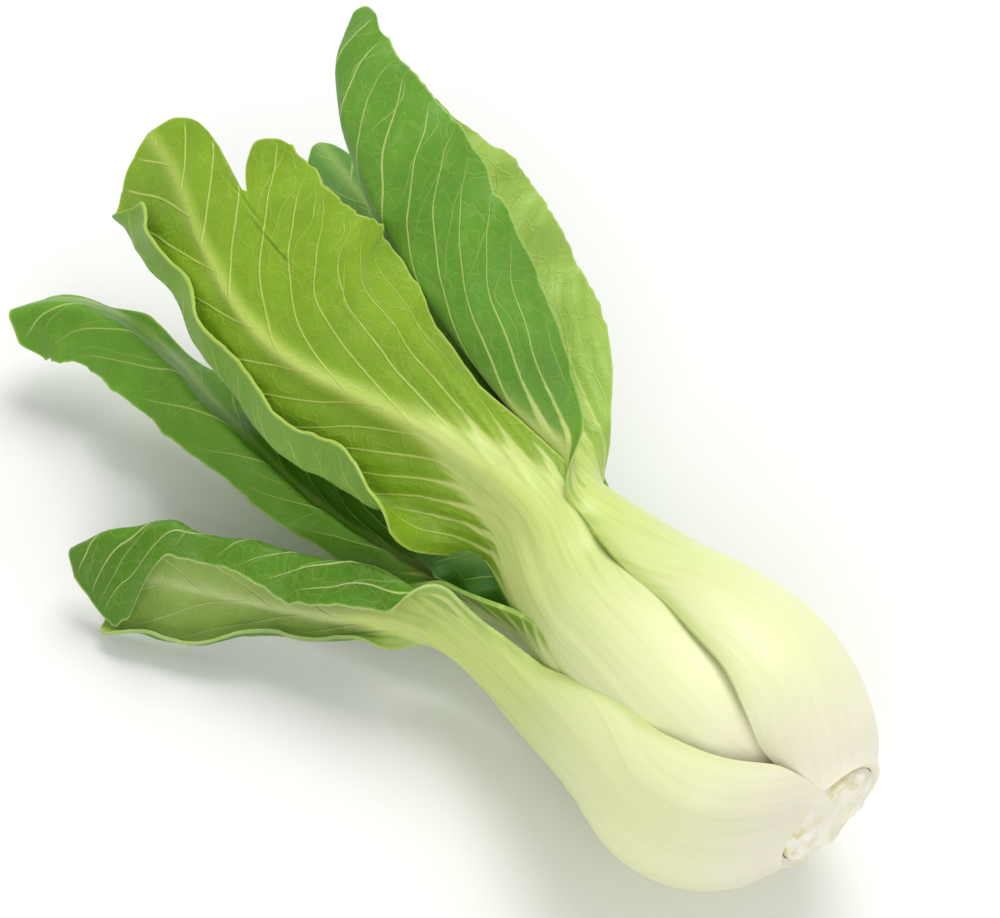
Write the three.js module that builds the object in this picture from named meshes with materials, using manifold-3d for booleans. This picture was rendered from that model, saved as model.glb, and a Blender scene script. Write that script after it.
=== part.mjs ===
// A head of bok choy lying on its side, as cut and laid on a table. The cut base is at the low-Y end,
// the leaves fan out towards +Y, and the surface that the head lies on is Z = 0.
// Each leaf is a fleshy pale stalk that widens round the bulb, and a thin green blade with a midrib.
// Lengths are in millimetres and angles in degrees.
import * as THREE from "three";
import { mergeVertices } from "three/addons/utils/BufferGeometryUtils.js";
import Module from "manifold-3d";

// Driving dimensions
const AXIS_HEIGHT = 33;
const CORE_RADIUS = 12;
const CORE_FACE = -3;
const STALK_THICKNESS = 6.5;
const EDGE_THICKNESS = 1.3;
const BLADE_THICKNESS = 0.8;
const GAP = 0.35;
const TONGUE = 9;

const STALK_ROWS = 11;
const BLADE_ROWS = 15;

const STALK_GREEN = 0xd9e6a6;
const BLADE_GREEN = 0x5c8f2c;
const CORE_CREAM = 0xefe6c4;

// Radius of the outermost stalks' inner side against the distance along Y from the cut.
const BULB = [
  [4, 12.6],
  [6, 15],
  [10, 19.6],
  [16, 23.4],
  [26, 26],
  [42, 24.3],
  [58, 20],
  [74, 16.5],
  [90, 14],
];

// How far the head's middle line leans towards -X above the cut, against Y.
const LEAN = [
  [0, 0],
  [22, -4.5],
  [60, -4],
  [95, 0],
];

// Where the three outer stalks start, at the rim of the cut face: [distance along Y, inner side's radius].
const OUTER_FOOT = [[-1.5, CORE_RADIUS + 0.5]];

const radians = THREE.MathUtils.degToRad;
const smooth = (t) => THREE.MathUtils.smoothstep(t, 0, 1);

// Value at x on the smooth curve through keys [[x, value], ...].
function along(keys, x) {
  const last = keys.length - 1;
  if (x <= keys[0][0]) return keys[0][1];
  if (x >= keys[last][0]) return keys[last][1];
  let i = 0;
  while (x > keys[i + 1][0]) i++;
  const slope = (k) => {
    if (k === 0 || k === last) return 0;
    const before = (keys[k][1] - keys[k - 1][1]) / (keys[k][0] - keys[k - 1][0]);
    const after = (keys[k + 1][1] - keys[k][1]) / (keys[k + 1][0] - keys[k][0]);
    return before * after <= 0 ? 0 : (2 * before * after) / (before + after);
  };
  const h = keys[i + 1][0] - keys[i][0];
  const t = (x - keys[i][0]) / h;
  const t2 = t * t;
  const t3 = t2 * t;
  return (
    (2 * t3 - 3 * t2 + 1) * keys[i][1] +
    (t3 - 2 * t2 + t) * h * slope(i) +
    (3 * t2 - 2 * t3) * keys[i + 1][1] +
    (t3 - t2) * h * slope(i + 1)
  );
}

// The same curve evened out over a short stretch to both sides of x.
function evenly(keys, x) {
  return [-0.04, -0.02, 0, 0.02, 0.04].reduce((sum, step) => sum + along(keys, x + step) / 5, 0);
}

// The centre line of a leaf's inner side: up the bulb at the leaf's angle, then through its blade points.
function spineOf(leaf) {
  const a = radians(leaf.angle);
  const stations = leaf.stations.map((y) => [y + leaf.rise, along(BULB, y) * leaf.shrink]);
  const points = [...leaf.foot, ...stations].map(([y, r]) => {
    const lean = along(LEAN, y - leaf.rise);
    return new THREE.Vector3(lean + r * Math.sin(a), y, AXIS_HEIGHT + r * Math.cos(a));
  });
  points.push(...leaf.blade.map((p) => new THREE.Vector3(...p)));
  const curve = new THREE.CatmullRomCurve3(points, false, "centripetal");
  curve.arcLengthDivisions = 400;
  return curve;
}

const FRAMES = 300;

// Frames down the spine, carried along without twist from the leaf's own radial plane, then rolled.
function framesOf(leaf, curve) {
  const frames = [];
  const a = radians(leaf.angle);
  let normal = null;
  for (let i = 0; i <= FRAMES; i++) {
    const v = i / FRAMES;
    const tangent = curve.getTangentAt(v);
    const side = new THREE.Vector3(Math.cos(a), 0, -Math.sin(a));
    if (v < leaf.free[0]) normal = side.clone().cross(tangent);
    normal = normal.clone().addScaledVector(tangent, -normal.dot(tangent)).normalize();
    const turned = normal.clone().applyAxisAngle(tangent, radians(along(leaf.roll, v)));
    frames.push({ at: curve.getPointAt(v), tangent, normal: turned, side: tangent.clone().cross(turned) });
  }
  return frames;
}

// Gives a point of the leaf's inner side, and the outward normal there: u runs across it from -1 to 1,
// and v along it from 0 to 1.
function surfaceOf(leaf) {
  const curve = spineOf(leaf);
  const length = curve.getLength();
  const frames = framesOf(leaf, curve);
  const a = radians(leaf.angle);

  const section = (u, v, frame) => {
    const half = u < 0 ? leaf.left : leaf.right;
    const dir = u < 0 ? -1 : 1;
    const reach = Math.abs(u);
    const width = evenly(leaf.width, v) * evenly(half.share, v);
    const cup = radians(along(half.cup, v));
    const roll = radians(along(half.roll, v));
    const from = along(half.rollFrom, v);
    const to = along(half.rollTo, v);
    const headingAt = (q) => cup * q + roll * smooth((q - from) / (to - from));
    const steps = 24;
    let x = 0;
    let z = 0;
    for (let k = 0; k < steps; k++) {
      const heading = headingAt(((k + 0.5) / steps) * reach);
      x += (Math.cos(heading) * reach * width) / steps;
      z -= (Math.sin(heading) * reach * width) / steps;
    }
    const heading = headingAt(reach);
    const at = frame.at.clone().addScaledVector(frame.side, x * dir).addScaledVector(frame.normal, z);
    const normal = frame.normal.clone().multiplyScalar(Math.cos(heading));
    normal.addScaledVector(frame.side, Math.sin(heading) * dir);
    return { at, normal, width };
  };

  // In the bulb the stalk wraps round the head's own axis.
  const wrapped = (u, v, frame, width) => {
    const lean = along(LEAN, frame.at.y);
    const r = Math.hypot(frame.at.x - lean, frame.at.z - AXIS_HEIGHT);
    const turn = (u * width) / Math.max(r, 1);
    const radial = new THREE.Vector3(Math.sin(a + turn), 0, Math.cos(a + turn));
    const tuck = 1 - leaf.tuck * turn * turn;
    const out = frame.normal.dot(new THREE.Vector3(Math.sin(a), 0, Math.cos(a)));
    const at = new THREE.Vector3(lean, frame.at.y, AXIS_HEIGHT).addScaledVector(radial, r * tuck);
    const normal = radial.clone().multiplyScalar(out);
    normal.y += frame.normal.y;
    return { at, normal: normal.normalize() };
  };

  const surface = (u, v) => {
    const q = v * FRAMES;
    const i = Math.min(FRAMES - 1, Math.floor(q));
    const [f, g] = [frames[i], frames[i + 1]];
    const mix = (key) => f[key].clone().lerp(g[key], q - i);
    const frame = { at: mix("at"), normal: mix("normal").normalize(), side: mix("side").normalize() };
    const { at, normal, width } = section(u, v, frame);
    const free = smooth((v - leaf.free[0]) / (leaf.free[1] - leaf.free[0]));
    if (free < 1) {
      const held = wrapped(u, v, frame, width);
      at.lerp(held.at, 1 - free);
      normal.lerp(held.normal, 1 - free).normalize();
    }
    const [height, waves, phase] = leaf.ruffle;
    const inBlade = smooth((v - leaf.neck - 0.03) / 0.15);
    const swing = Math.sin(waves * Math.PI * 2 * v + phase + (u < 0 ? 0 : 2.1));
    at.addScaledVector(normal, height * inBlade * Math.abs(u) ** 3 * swing);
    return { at, normal, width };
  };
  return { surface, length };
}

// A closed solid over a grid of the leaf, between its inner side and an outer side thicknessAt away.
// grow thickens it by that much on every side.
function sheetSolid(surface, columns, rows, rowAt, thicknessAt, grow = 0) {
  const cols = columns.length - 1;
  const inner = [];
  const outer = [];
  for (let i = 0; i <= cols; i++) {
    for (let j = 0; j <= rows; j++) {
      const u = columns[i];
      const v = rowAt(u, j / rows);
      const { at, normal, width } = surface(u, v);
      const top = at.clone().addScaledVector(normal, thicknessAt(u, v, width));
      // what would dip under the table lies flat on it
      at.z = Math.max(at.z, normal.z < 0 ? BLADE_THICKNESS : 0);
      top.z = Math.max(top.z, normal.z < 0 ? 0 : BLADE_THICKNESS);
      if (grow > 0) {
        const rim = new THREE.Vector3();
        if (i === 0 || i === cols) rim.copy(at).sub(surface(u * 0.95, v).at).setLength(grow);
        at.addScaledVector(normal, -grow).add(rim);
        top.addScaledVector(normal, grow).add(rim);
      }
      inner.push(at);
      outer.push(top);
    }
  }
  const index = (i, j) => i * (rows + 1) + j;
  const base = inner.length;
  const faces = [];
  for (let i = 0; i < cols; i++) {
    for (let j = 0; j < rows; j++) {
      const [p, q, r, s] = [index(i, j), index(i + 1, j), index(i + 1, j + 1), index(i, j + 1)];
      const halves = i < cols / 2 ? [[p, q, r], [p, r, s]] : [[p, q, s], [q, r, s]];
      for (const [x, y, z] of halves) faces.push([x, z, y], [base + x, base + y, base + z]);
    }
  }
  const rim = [];
  for (let i = 0; i < cols; i++) rim.push(index(i, 0));
  for (let j = 0; j < rows; j++) rim.push(index(cols, j));
  for (let i = cols; i > 0; i--) rim.push(index(i, rows));
  for (let j = rows; j > 0; j--) rim.push(index(0, j));
  rim.forEach((p, k) => {
    const q = rim[(k + 1) % rim.length];
    faces.push([p, base + q, base + p], [p, q, base + q]);
  });
  const geometry = new THREE.BufferGeometry();
  const positions = [...inner, ...outer].flatMap((p) => [p.x, p.y, p.z]);
  geometry.setAttribute("position", new THREE.Float32BufferAttribute(positions, 3));
  geometry.setIndex(faces.flat());
  return geometry;
}

const wasm = await Module();
wasm.setup();

function solidOf(geometry) {
  const bare = geometry.clone();
  bare.deleteAttribute("normal");
  bare.deleteAttribute("uv");
  const merged = mergeVertices(bare, 1e-4);
  const triVerts = [];
  for (let i = 0; i < merged.index.count; i += 3) {
    const corners = [0, 1, 2].map((k) => merged.index.getX(i + k));
    if (new Set(corners).size === 3) triVerts.push(...corners);
  }
  const vertProperties = new Float32Array(merged.getAttribute("position").array);
  const mesh = new wasm.Mesh({ numProp: 3, vertProperties, triVerts: new Uint32Array(triVerts) });
  return new wasm.Manifold(mesh);
}

function geometryOf(solid) {
  const { vertProperties, triVerts } = solid.getMesh();
  const geometry = new THREE.BufferGeometry();
  geometry.setAttribute("position", new THREE.BufferAttribute(vertProperties, 3));
  geometry.setIndex(new THREE.BufferAttribute(triVerts, 1));
  geometry.computeVertexNormals();
  return geometry;
}

function namedMesh(name, geometry, color, roughness) {
  const mesh = new THREE.Mesh(geometry, new THREE.MeshStandardMaterial({ color, roughness, metalness: 0 }));
  mesh.name = name;
  return mesh;
}

// The stalk and the blade of a leaf as solids, grown by grow on every side.
function leafSolids(leaf, grow = 0) {
  const { surface, length } = surfaceOf(leaf);
  const gap = (GAP * 1.4) / length;
  const { neck } = leaf;
  const seam = (u) => neck + (TONGUE / length) * (1 - u * u);
  const tip = (u) => along(leaf.tip, u);
  const ribWidth = [[neck, 4.2], [neck + 0.25, 2.2], [1, 1.1]];
  const ribHeight = [[neck, 3], [neck + 0.25, 1.6], [1, 0.3]];
  const thickness = (u, v, width) => {
    const flesh = leaf.thickness * along(leaf.flesh, v);
    const crescent = EDGE_THICKNESS + (flesh - EDGE_THICKNESS) * (1 - Math.abs(u) ** 2.2);
    const rib = along(ribHeight, v) * Math.exp(-(((u * width) / along(ribWidth, v)) ** 2));
    const mix = smooth((v - neck + 0.1) / 0.16);
    return crescent * (1 - mix) + (BLADE_THICKNESS + rib) * mix;
  };
  const stalkRow = (u, t) => t * (seam(u) - gap);
  const bladeRow = (u, t) => seam(u) + t * (tip(u) - seam(u));
  const stalk = sheetSolid(surface, leaf.columns, leaf.stalkRows, stalkRow, thickness, grow);
  const blade = sheetSolid(surface, leaf.columns, leaf.bladeRows, bladeRow, thickness, grow);
  return [solidOf(stalk), solidOf(blade)];
}

// The solid stem that every stalk grows from, with the flat cut face at its low-Y end.
function coreGeometry(grow = 0) {
  const outline = [
    [0, CORE_FACE],
    [CORE_RADIUS - 1.5 + grow, CORE_FACE],
    [CORE_RADIUS + grow, CORE_FACE + 1.5],
    [CORE_RADIUS + grow, 4],
    [8.5 + grow, 9 + grow],
    [5 + grow, 16 + grow],
    [0, 22 + grow],
  ];
  const geometry = new THREE.LatheGeometry(outline.map(([x, y]) => new THREE.Vector2(x, y)), 24);
  return geometry.translate(0, 0, AXIS_HEIGHT);
}

const evenColumns = (count) => Array.from({ length: count + 1 }, (_, i) => (2 * i) / count - 1);

const PLAIN = {
  share: [[0, 1]],
  cup: [[0, 60], [0.1, 50], [0.25, 55], [0.42, 45], [0.6, 20], [1, 20]],
  roll: [[0, 0]],
  rollFrom: [[0, 0.6]], rollTo: [[0, 1]],
};

const COMMON = {
  rise: 0,
  shrink: 1,
  tuck: 0,
  free: [0.12, 0.3],
  foot: [],
  stations: [4, 6, 10, 16, 26, 42, 56],
  thickness: STALK_THICKNESS,
  flesh: [[0, 0.3], [0.03, 0.72], [0.06, 0.94], [0.09, 1], [0.25, 0.85], [0.45, 0.6]],
  neck: 0.42,
  width: [
    [0, 13], [0.03, 22], [0.1, 31], [0.17, 33], [0.27, 22], [0.36, 12.5], [0.42, 11], [0.5, 20],
    [0.66, 34], [0.82, 34], [1, 14],
  ],
  left: PLAIN,
  right: PLAIN,
  roll: [[0, 0]],
  ruffle: [1.5, 9, 0],
  tip: [
    [-1, 0.91], [-0.75, 0.952], [-0.5, 0.98], [-0.25, 0.996], [0, 1], [0.25, 0.996], [0.5, 0.98],
    [0.75, 0.952], [1, 0.91],
  ],
  columns: evenColumns(10),
  stalkRows: STALK_ROWS,
  bladeRows: BLADE_ROWS,
};

const LEAVES = [
  {
    ...COMMON,
    name: "outer_leaf_left",
    angle: -85,
    rise: -3,
    shrink: 1.05,
    neck: 0.5,
    foot: [...OUTER_FOOT, [1.5, 15]],
    stations: [10, 16, 26, 40],
    blade: [
      [-27.6, 58, 26.5], [-27.6, 72, 25.5], [-29.5, 88, 24], [-35, 99, 22], [-41, 107, 19], [-47, 117, 15.5],
      [-55, 129, 14], [-62, 139, 14], [-69, 148.5, 13.5], [-74, 155, 11], [-76.5, 158, 9],
    ],
    roll: [[0.5, 0], [0.64, 20], [1, 20]],
    width: [
      [0, 13], [0.03, 22], [0.1, 31], [0.16, 33], [0.26, 22], [0.34, 13], [0.43, 10], [0.5, 9], [0.58, 18],
      [0.66, 26], [0.76, 29], [0.89, 28], [0.95, 26], [1, 18],
    ],
    left: {
      ...PLAIN,
      share: [
        [0.14, 1], [0.24, 1.2], [0.37, 1.3], [0.48, 1], [0.55, 0.45], [0.64, 0.4], [0.77, 0.48],
        [0.86, 0.75], [1, 0.75],
      ],
      cup: [[0, 60], [0.24, 50], [0.37, 40], [0.53, 40], [0.64, 0]],
      roll: [[0.55, 0], [0.66, -120], [0.9, -120], [1, -90]],
      rollFrom: [[0.77, 0.35], [0.86, 0.5]],
      rollTo: [[0.77, 0.75], [0.86, 0.85]],
    },
    right: {
      ...PLAIN,
      share: [
        [0, 1], [0.05, 0.9], [0.13, 0.72], [0.24, 0.7], [0.37, 1], [0.47, 1.1], [0.64, 1], [0.74, 0.95],
        [0.82, 0.76], [0.87, 0.72], [0.93, 1.45], [0.97, 1.6], [1, 1.3],
      ],
      cup: [[0, 60], [0.24, 55], [0.37, 30], [0.56, 10], [0.74, 0]],
      roll: [[0.52, 0], [0.6, -150], [0.88, -150], [0.93, -175]],
      rollFrom: [[0.7, 0.42], [0.82, 0.52], [0.87, 0.52], [0.93, 0.27], [1, 0.18]],
      rollTo: [[0.7, 0.68], [0.82, 0.82], [0.87, 0.8], [0.93, 0.48], [1, 0.42]],
    },
    tip: [[-1, 0.98], [-0.5, 0.99], [0, 1], [0.5, 1], [0.8, 0.985], [1, 0.96]],
    ruffle: [0.8, 7, 0],
    columns: [-1, -0.85, -0.7, -0.55, -0.4, -0.2, 0, 0.15, 0.28, 0.4, 0.5, 0.6, 0.72, 0.86, 1],
    bladeRows: 22,
  },
  {
    ...COMMON,
    name: "outer_leaf_right",
    angle: 50,
    rise: 2,
    foot: [...OUTER_FOOT, [3, 14.4]],
    stations: [10, 16, 26, 42, 56],
    blade: [
      [10, 76, 44], [8, 88, 46], [7, 102, 51], [6.5, 126, 60], [9.5, 152.5, 67], [19.3, 179.4, 72],
      [29.5, 194.3, 75], [41, 202.5, 76],
    ],
    width: [
      [0, 13], [0.03, 22], [0.1, 31], [0.17, 33], [0.27, 22], [0.36, 12.5], [0.42, 11], [0.5, 26],
      [0.62, 32], [0.75, 31], [0.85, 25], [0.95, 17], [1, 13],
    ],
    left: {
      ...PLAIN,
      share: [
        [0, 1], [0.05, 0.93], [0.12, 0.72], [0.25, 0.65], [0.35, 0.8], [0.42, 0.8], [0.5, 0.8],
        [0.6, 0.92], [0.75, 1.07], [0.85, 1.05], [1, 0.9],
      ],
      cup: [[0, 60], [0.25, 55], [0.38, 35], [0.46, -40], [1, -40]],
      roll: [[0.4, 0], [0.46, -70]],
      rollFrom: [[0, 0]],
      rollTo: [[0, 0.3]],
    },
    right: {
      ...PLAIN,
      share: [
        [0.4, 1], [0.44, 1.3], [0.5, 1.2], [0.6, 1.16], [0.7, 1.24], [0.8, 1.2], [0.9, 0.95], [1, 0.8],
      ],
      cup: [[0, 60], [0.25, 55], [0.38, 35], [0.44, -20], [1, -20]],
      roll: [[0.38, 0], [0.44, -50]],
      rollFrom: [[0, 0]],
      rollTo: [[0, 0.3]],
    },
    tip: [[-1, 0.945], [-0.75, 0.985], [-0.4, 1], [0, 0.98], [0.5, 0.95], [1, 0.9]],
  },
  {
    ...COMMON,
    name: "outer_leaf_under",
    angle: 176,
    shrink: 1.1,
    foot: OUTER_FOOT,
    tuck: 0.15,
    blade: [[-1, 72, 14], [4, 92, 11], [12, 120, 5], [18, 150, 2], [24, 185, 0.8]],
    width: [
      [0, 9], [0.03, 15], [0.1, 22], [0.17, 24], [0.27, 18], [0.36, 12.5], [0.42, 11], [0.5, 18],
      [0.66, 25], [0.82, 24], [1, 10],
    ],
  },
  {
    ...COMMON,
    name: "middle_leaf_top",
    angle: -30,
    shrink: 0.77,
    rise: 3,
    neck: 0.4,
    thickness: 5.8,
    blade: [
      [-8, 72, 43], [-4, 88, 47], [-8, 110, 51], [-16, 130, 54], [-22, 144, 56], [-24, 160, 58],
      [-19, 183, 59], [-11, 205, 58], [-8, 219, 56],
    ],
    width: [
      [0, 13], [0.03, 18], [0.1, 25], [0.17, 27], [0.27, 21], [0.36, 14.5], [0.42, 14], [0.5, 24],
      [0.62, 33], [0.85, 32], [1, 19],
    ],
    left: {
      ...PLAIN,
      share: [
        [0, 1], [0.1, 0.8], [0.17, 0.62], [0.26, 0.65], [0.31, 0.95], [0.36, 1.4], [0.41, 1.5],
        [0.46, 1.35], [0.5, 1.25], [0.56, 1.1], [0.62, 1], [0.7, 0.68], [0.8, 0.6], [0.9, 0.95],
        [0.96, 1.4], [1, 1.5],
      ],
      roll: [[0.4, 0], [0.46, -50], [0.52, -140], [0.6, -175]],
      rollFrom: [[0, 0.5]],
      rollTo: [[0, 0.8]],
    },
    right: {
      ...PLAIN,
      share: [
        [0, 1], [0.08, 0.8], [0.3, 0.75], [0.42, 0.9], [0.46, 0.6], [0.52, 0.62], [0.6, 0.93],
        [0.67, 1.1], [0.75, 1], [0.9, 0.92], [0.95, 1.3], [1, 1.7],
      ],
      cup: [[0, 60], [0.25, 55], [0.4, 40], [0.5, 15], [1, 25]],
    },
    tip: [
      [-1, 0.92], [-0.5, 0.98], [0, 1], [0.2, 0.99], [0.35, 0.965], [0.44, 0.92], [0.48, 0.845],
      [0.53, 0.86], [0.6, 0.88], [0.75, 0.9], [0.9, 0.89], [1, 0.87],
    ],
    columns: [-1, -0.86, -0.72, -0.58, -0.45, -0.22, 0, 0.2, 0.35, 0.44, 0.48, 0.53, 0.62, 0.8, 1],
  },
  {
    ...COMMON,
    name: "middle_leaf_right",
    angle: 112,
    shrink: 0.7,
    rise: 4,
    thickness: 5,
    blade: [[8, 72, 26], [10, 90, 25], [15, 120, 28], [24, 150, 32], [34, 175, 34]],
    width: [
      [0, 12], [0.03, 18], [0.1, 25], [0.17, 27], [0.27, 18], [0.36, 12.5], [0.42, 11], [0.5, 18],
      [0.66, 25], [0.82, 24], [1, 10],
    ],
  },
  {
    ...COMMON,
    name: "middle_leaf_left",
    angle: -137,
    shrink: 0.7,
    rise: 4,
    thickness: 5,
    neck: 0.37,
    blade: [
      [-12, 72, 22], [-18, 96, 20], [-23, 110, 21], [-29, 134, 23], [-30, 161, 23], [-29, 191, 22],
      [-33, 208, 23], [-39, 218, 22], [-46, 224, 18],
    ],
    width: [
      [0, 12], [0.03, 18], [0.1, 25], [0.17, 27], [0.27, 18], [0.36, 12.5], [0.42, 11], [0.5, 20],
      [0.66, 25], [0.82, 26], [0.94, 25], [1, 23],
    ],
    left: {
      ...PLAIN,
      share: [[0.5, 1], [0.65, 0.8], [0.74, 0.45], [0.84, 0.16], [1, 0.12]],
      cup: [[0, 60], [0.25, 55], [0.4, 40], [0.5, 30], [1, 30]],
    },
    right: {
      ...PLAIN,
      share: [[0.37, 1], [0.48, 0.6], [0.58, 0.58], [0.68, 0.64], [0.78, 0.8], [0.9, 0.85], [1, 1]],
      cup: [[0, 60], [0.25, 55], [0.4, 30], [0.5, 40], [0.8, 20], [1, -20]],
      roll: [[0.4, 0], [0.5, -120], [1, -90]],
      rollFrom: [[0, 0.3]],
      rollTo: [[0, 0.5]],
    },
    tip: [[-1, 0.93], [-0.5, 0.98], [0, 0.995], [0.35, 1], [0.7, 1], [1, 0.985]],
    columns: [-1, -0.8, -0.6, -0.4, -0.2, 0, 0.18, 0.3, 0.4, 0.5, 0.66, 0.83, 1],
  },
  {
    ...COMMON,
    name: "inner_leaf_top",
    angle: 15,
    shrink: 0.46,
    rise: 9,
    columns: evenColumns(8),
    stalkRows: 8,
    bladeRows: 12,
    thickness: 4.5,
    blade: [[0, 78, 38], [4, 100, 40], [11, 130, 42], [19, 160, 43], [25, 190, 42], [28, 203, 40]],
    width: [
      [0, 9], [0.05, 13], [0.15, 15], [0.3, 11], [0.42, 8], [0.5, 14], [0.66, 19], [0.82, 18], [1, 8],
    ],
  },
  {
    ...COMMON,
    name: "inner_leaf_left",
    angle: -95,
    shrink: 0.42,
    rise: 9,
    columns: evenColumns(8),
    stalkRows: 8,
    bladeRows: 12,
    thickness: 4.5,
    blade: [[-10, 78, 31], [-13, 96, 28], [-18, 120, 27], [-22, 145, 27], [-25, 170, 29]],
    right: { ...PLAIN, share: [[0.35, 1], [0.5, 0.7]] },
    width: [
      [0, 9], [0.05, 13], [0.15, 15], [0.3, 11], [0.42, 8], [0.5, 12], [0.66, 15], [0.82, 15], [1, 8],
    ],
  },
  {
    ...COMMON,
    name: "heart_leaf_upper",
    angle: -30,
    shrink: 0.2,
    rise: 14,
    columns: evenColumns(6),
    stalkRows: 8,
    bladeRows: 10,
    thickness: 3.5,
    stations: [3, 10, 26, 42],
    blade: [[-5, 68, 37], [-11, 88, 33], [-17, 100, 31], [-22, 108, 30]],
    width: [[0, 4], [0.15, 6], [0.3, 6], [0.42, 5], [0.55, 8], [0.8, 10], [1, 5]],
  },
  {
    ...COMMON,
    name: "heart_leaf_lower",
    angle: 150,
    shrink: 0.2,
    rise: 14,
    columns: evenColumns(6),
    stalkRows: 8,
    bladeRows: 10,
    thickness: 3.5,
    stations: [3, 10, 26, 42],
    blade: [[0, 68, 29], [-3, 88, 27], [-8, 105, 27], [-14, 120, 27]],
    width: [[0, 4], [0.15, 6], [0.3, 6], [0.42, 5], [0.55, 8], [0.8, 9], [1, 5]],
  },
];

// What stands where another leaf or the stem does is cut away from the leaf that comes later in the list.
function cutBy(solid, others) {
  const bodies = solid.subtract(wasm.Manifold.union(others)).decompose();
  return bodies.sort((a, b) => b.volume() - a.volume())[0].simplify(0.004);
}

const group = new THREE.Group();
group.add(namedMesh("cut_base", coreGeometry(), CORE_CREAM, 0.8));
const taken = [solidOf(coreGeometry(GAP))];
for (const leaf of LEAVES) {
  const solids = leafSolids(leaf);
  const grown = leafSolids(leaf, GAP);
  const stalk = cutBy(solids[0], taken);
  const blade = cutBy(solids[1], [...taken, grown[0]]);
  group.add(namedMesh(leaf.name + "_stalk", geometryOf(stalk), STALK_GREEN, 0.45));
  group.add(namedMesh(leaf.name + "_blade", geometryOf(blade), BLADE_GREEN, 0.5));
  taken.push(...solids, ...grown);
}

// The object's origin is the middle of its footprint, on the table.
const bounds = new THREE.Box3().setFromObject(group);
const middle = bounds.getCenter(new THREE.Vector3());
group.position.set(-middle.x, -middle.y, -bounds.min.z);

export default group;
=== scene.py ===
import math

import bmesh
import bpy
from mathutils import Matrix, Vector, noise


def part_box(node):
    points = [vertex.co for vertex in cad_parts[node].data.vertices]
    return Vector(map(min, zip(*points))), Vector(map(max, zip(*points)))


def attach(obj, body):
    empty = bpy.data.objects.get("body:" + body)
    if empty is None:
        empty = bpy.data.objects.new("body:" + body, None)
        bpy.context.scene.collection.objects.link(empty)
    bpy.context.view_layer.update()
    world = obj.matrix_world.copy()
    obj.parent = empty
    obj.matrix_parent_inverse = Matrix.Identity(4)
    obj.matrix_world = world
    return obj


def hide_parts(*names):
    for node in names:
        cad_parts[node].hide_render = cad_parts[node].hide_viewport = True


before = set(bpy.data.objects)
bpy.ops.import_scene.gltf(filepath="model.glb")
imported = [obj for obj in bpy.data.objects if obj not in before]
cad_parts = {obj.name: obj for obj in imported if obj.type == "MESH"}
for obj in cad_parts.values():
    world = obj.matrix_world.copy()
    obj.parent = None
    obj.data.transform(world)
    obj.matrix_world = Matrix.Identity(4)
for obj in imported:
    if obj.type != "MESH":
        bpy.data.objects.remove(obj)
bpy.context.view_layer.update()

# The place of the head: the middle of its cut base, low down where the stalks meet. The head lies along
# Y with the cut base at the low end, and every length of a leaf is in millimetres from this point.
base_low, base_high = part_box("cut_base")
HEAD = Vector(((base_low.x + base_high.x) / 2, base_low.y + 0.003, (base_low.z + base_high.z) / 2))

# The view: a long lens that looks down on the lying head from its left, with the cut base nearest.
lens = bpy.data.cameras.new("view")
lens.lens = 100
lens.sensor_width = 36
lens.clip_start = 0.01
camera = bpy.data.objects.new("view", lens)
across = Vector((0.766044, -0.642788, 0))
upward = Vector((0.526541, 0.627507, 0.573576))
towards = across.cross(upward)
place = HEAD + Vector((-0.22267, -0.16276, 0.50710))
camera.matrix_world = Matrix((
    (across.x, upward.x, towards.x, place.x),
    (across.y, upward.y, towards.y, place.y),
    (across.z, upward.z, towards.z, place.z),
    (0, 0, 0, 1),
))
bpy.context.scene.collection.objects.link(camera)
bpy.context.scene.camera = camera
bpy.context.scene.view_settings.view_transform = "Standard"

# The table: a plain white sheet, wide enough to fill the view from any side.
table_mesh = bpy.data.meshes.new("table")
bm = bmesh.new()
bmesh.ops.create_grid(bm, x_segments=1, y_segments=1, size=4)
bm.to_mesh(table_mesh)
bm.free()
table = bpy.data.objects.new("table", table_mesh)
bpy.context.scene.collection.objects.link(table)
table_paint = bpy.data.materials.new("white_sheet")
table_paint.use_nodes = True
table_paint.node_tree.nodes["Principled BSDF"].inputs["Base Color"].default_value = (0.93, 0.935, 0.92, 1)
table_paint.node_tree.nodes["Principled BSDF"].inputs["Roughness"].default_value = 0.9
table_mesh.materials.append(table_paint)

# The light: an even white studio, with one large soft lamp above on the right and a weak one on the left.
studio = bpy.data.worlds.new("studio")
studio.use_nodes = True
studio.node_tree.nodes["Background"].inputs["Color"].default_value = (1, 1, 1, 1)
studio.node_tree.nodes["Background"].inputs["Strength"].default_value = 0.5
bpy.context.scene.world = studio
for name, spot, size, power in (
    ("soft_lamp", (0.55, 0.3, 1.1), 0.7, 9.8),
    ("fill_lamp", (-0.6, -0.6, 0.8), 0.6, 3.2),
):
    lamp = bpy.data.lights.new(name, "AREA")
    lamp.size = size
    lamp.energy = power
    holder = bpy.data.objects.new(name, lamp)
    aim = (-Vector(spot)).to_track_quat("-Z", "Y").to_matrix().to_4x4()
    holder.matrix_world = Matrix.Translation(spot) @ aim
    bpy.context.scene.collection.objects.link(holder)


# Outer leaf on the left, nearest the camera. Its pale fleshy stalk wraps round the bulb and narrows to a
# neck, from where the thin green blade runs on; the blade's right half has rolled over on itself.
# Each leaf grows from a flat grid: the grid is extruded once for its two faces, then bent to the leaf.
COLUMNS = 64
STALK_ROWS = 56
BLADE_ROWS = 110
AXIS_HEIGHT = 33
EDGE_THICKNESS = 1.3
BLADE_THICKNESS = 0.8
TONGUE = 9
BULB = [
    (4, 12.6), (6, 15), (10, 19.6), (16, 23.4), (26, 26), (42, 24.3), (58, 20), (74, 16.5), (90, 14),
]
LEAN = [(0, 0), (22, -4.5), (60, -4), (95, 0)]

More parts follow.
